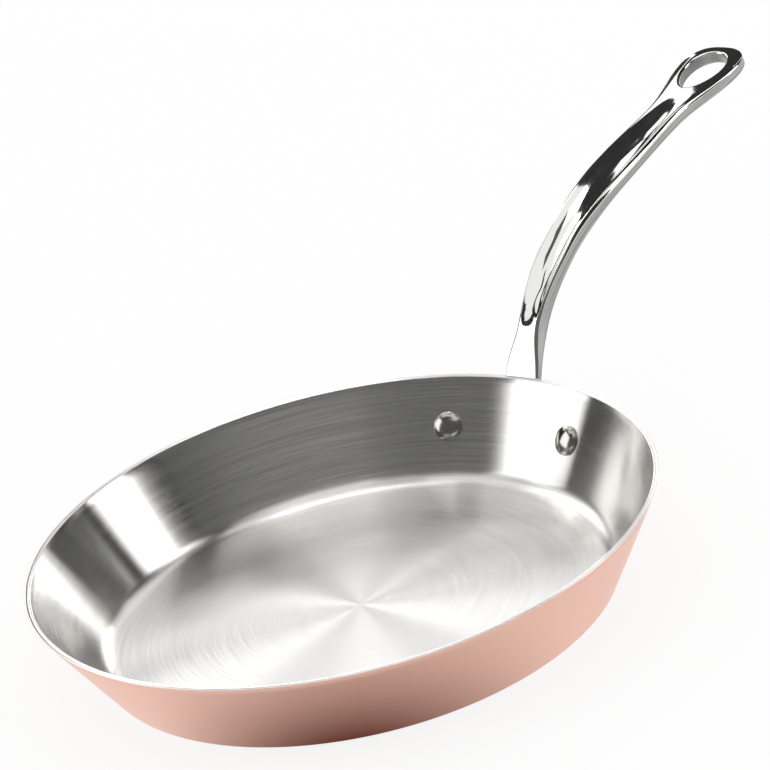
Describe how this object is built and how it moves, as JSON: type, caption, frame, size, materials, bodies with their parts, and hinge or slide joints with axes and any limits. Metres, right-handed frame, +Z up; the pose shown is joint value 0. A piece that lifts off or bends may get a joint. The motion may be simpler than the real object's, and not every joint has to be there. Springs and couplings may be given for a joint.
{
  "type": "frying pan",
  "caption": "Round copper frying pan with leaning walls, a steel cooking surface and a long curved cast steel handle with a hanging eye.",
  "frame": {"origin": "centre of the pan's flat underside", "axes": "+X runs out along the handle, +Z is up, out of the pan's mouth"},
  "size_m": [0.4484, 0.2598, 0.1127],
  "materials": {
    "copper_shell": null,
    "aluminium_core": "rolled aluminium, seen only as the edge of the rim",
    "steel_lining": "stainless steel, brushed in circles",
    "handle": "cast stainless steel, polished on top with satin sides",
    "rivets": "polished stainless steel"
  },
  "bodies": {
    "root": {"copper_shell": "copper_shell", "aluminium_core": "aluminium_core", "steel_lining": "steel_lining", "handle": "handle", "rivet_left": "rivets", "rivet_right": "rivets"}
  },
  "joints": []
}
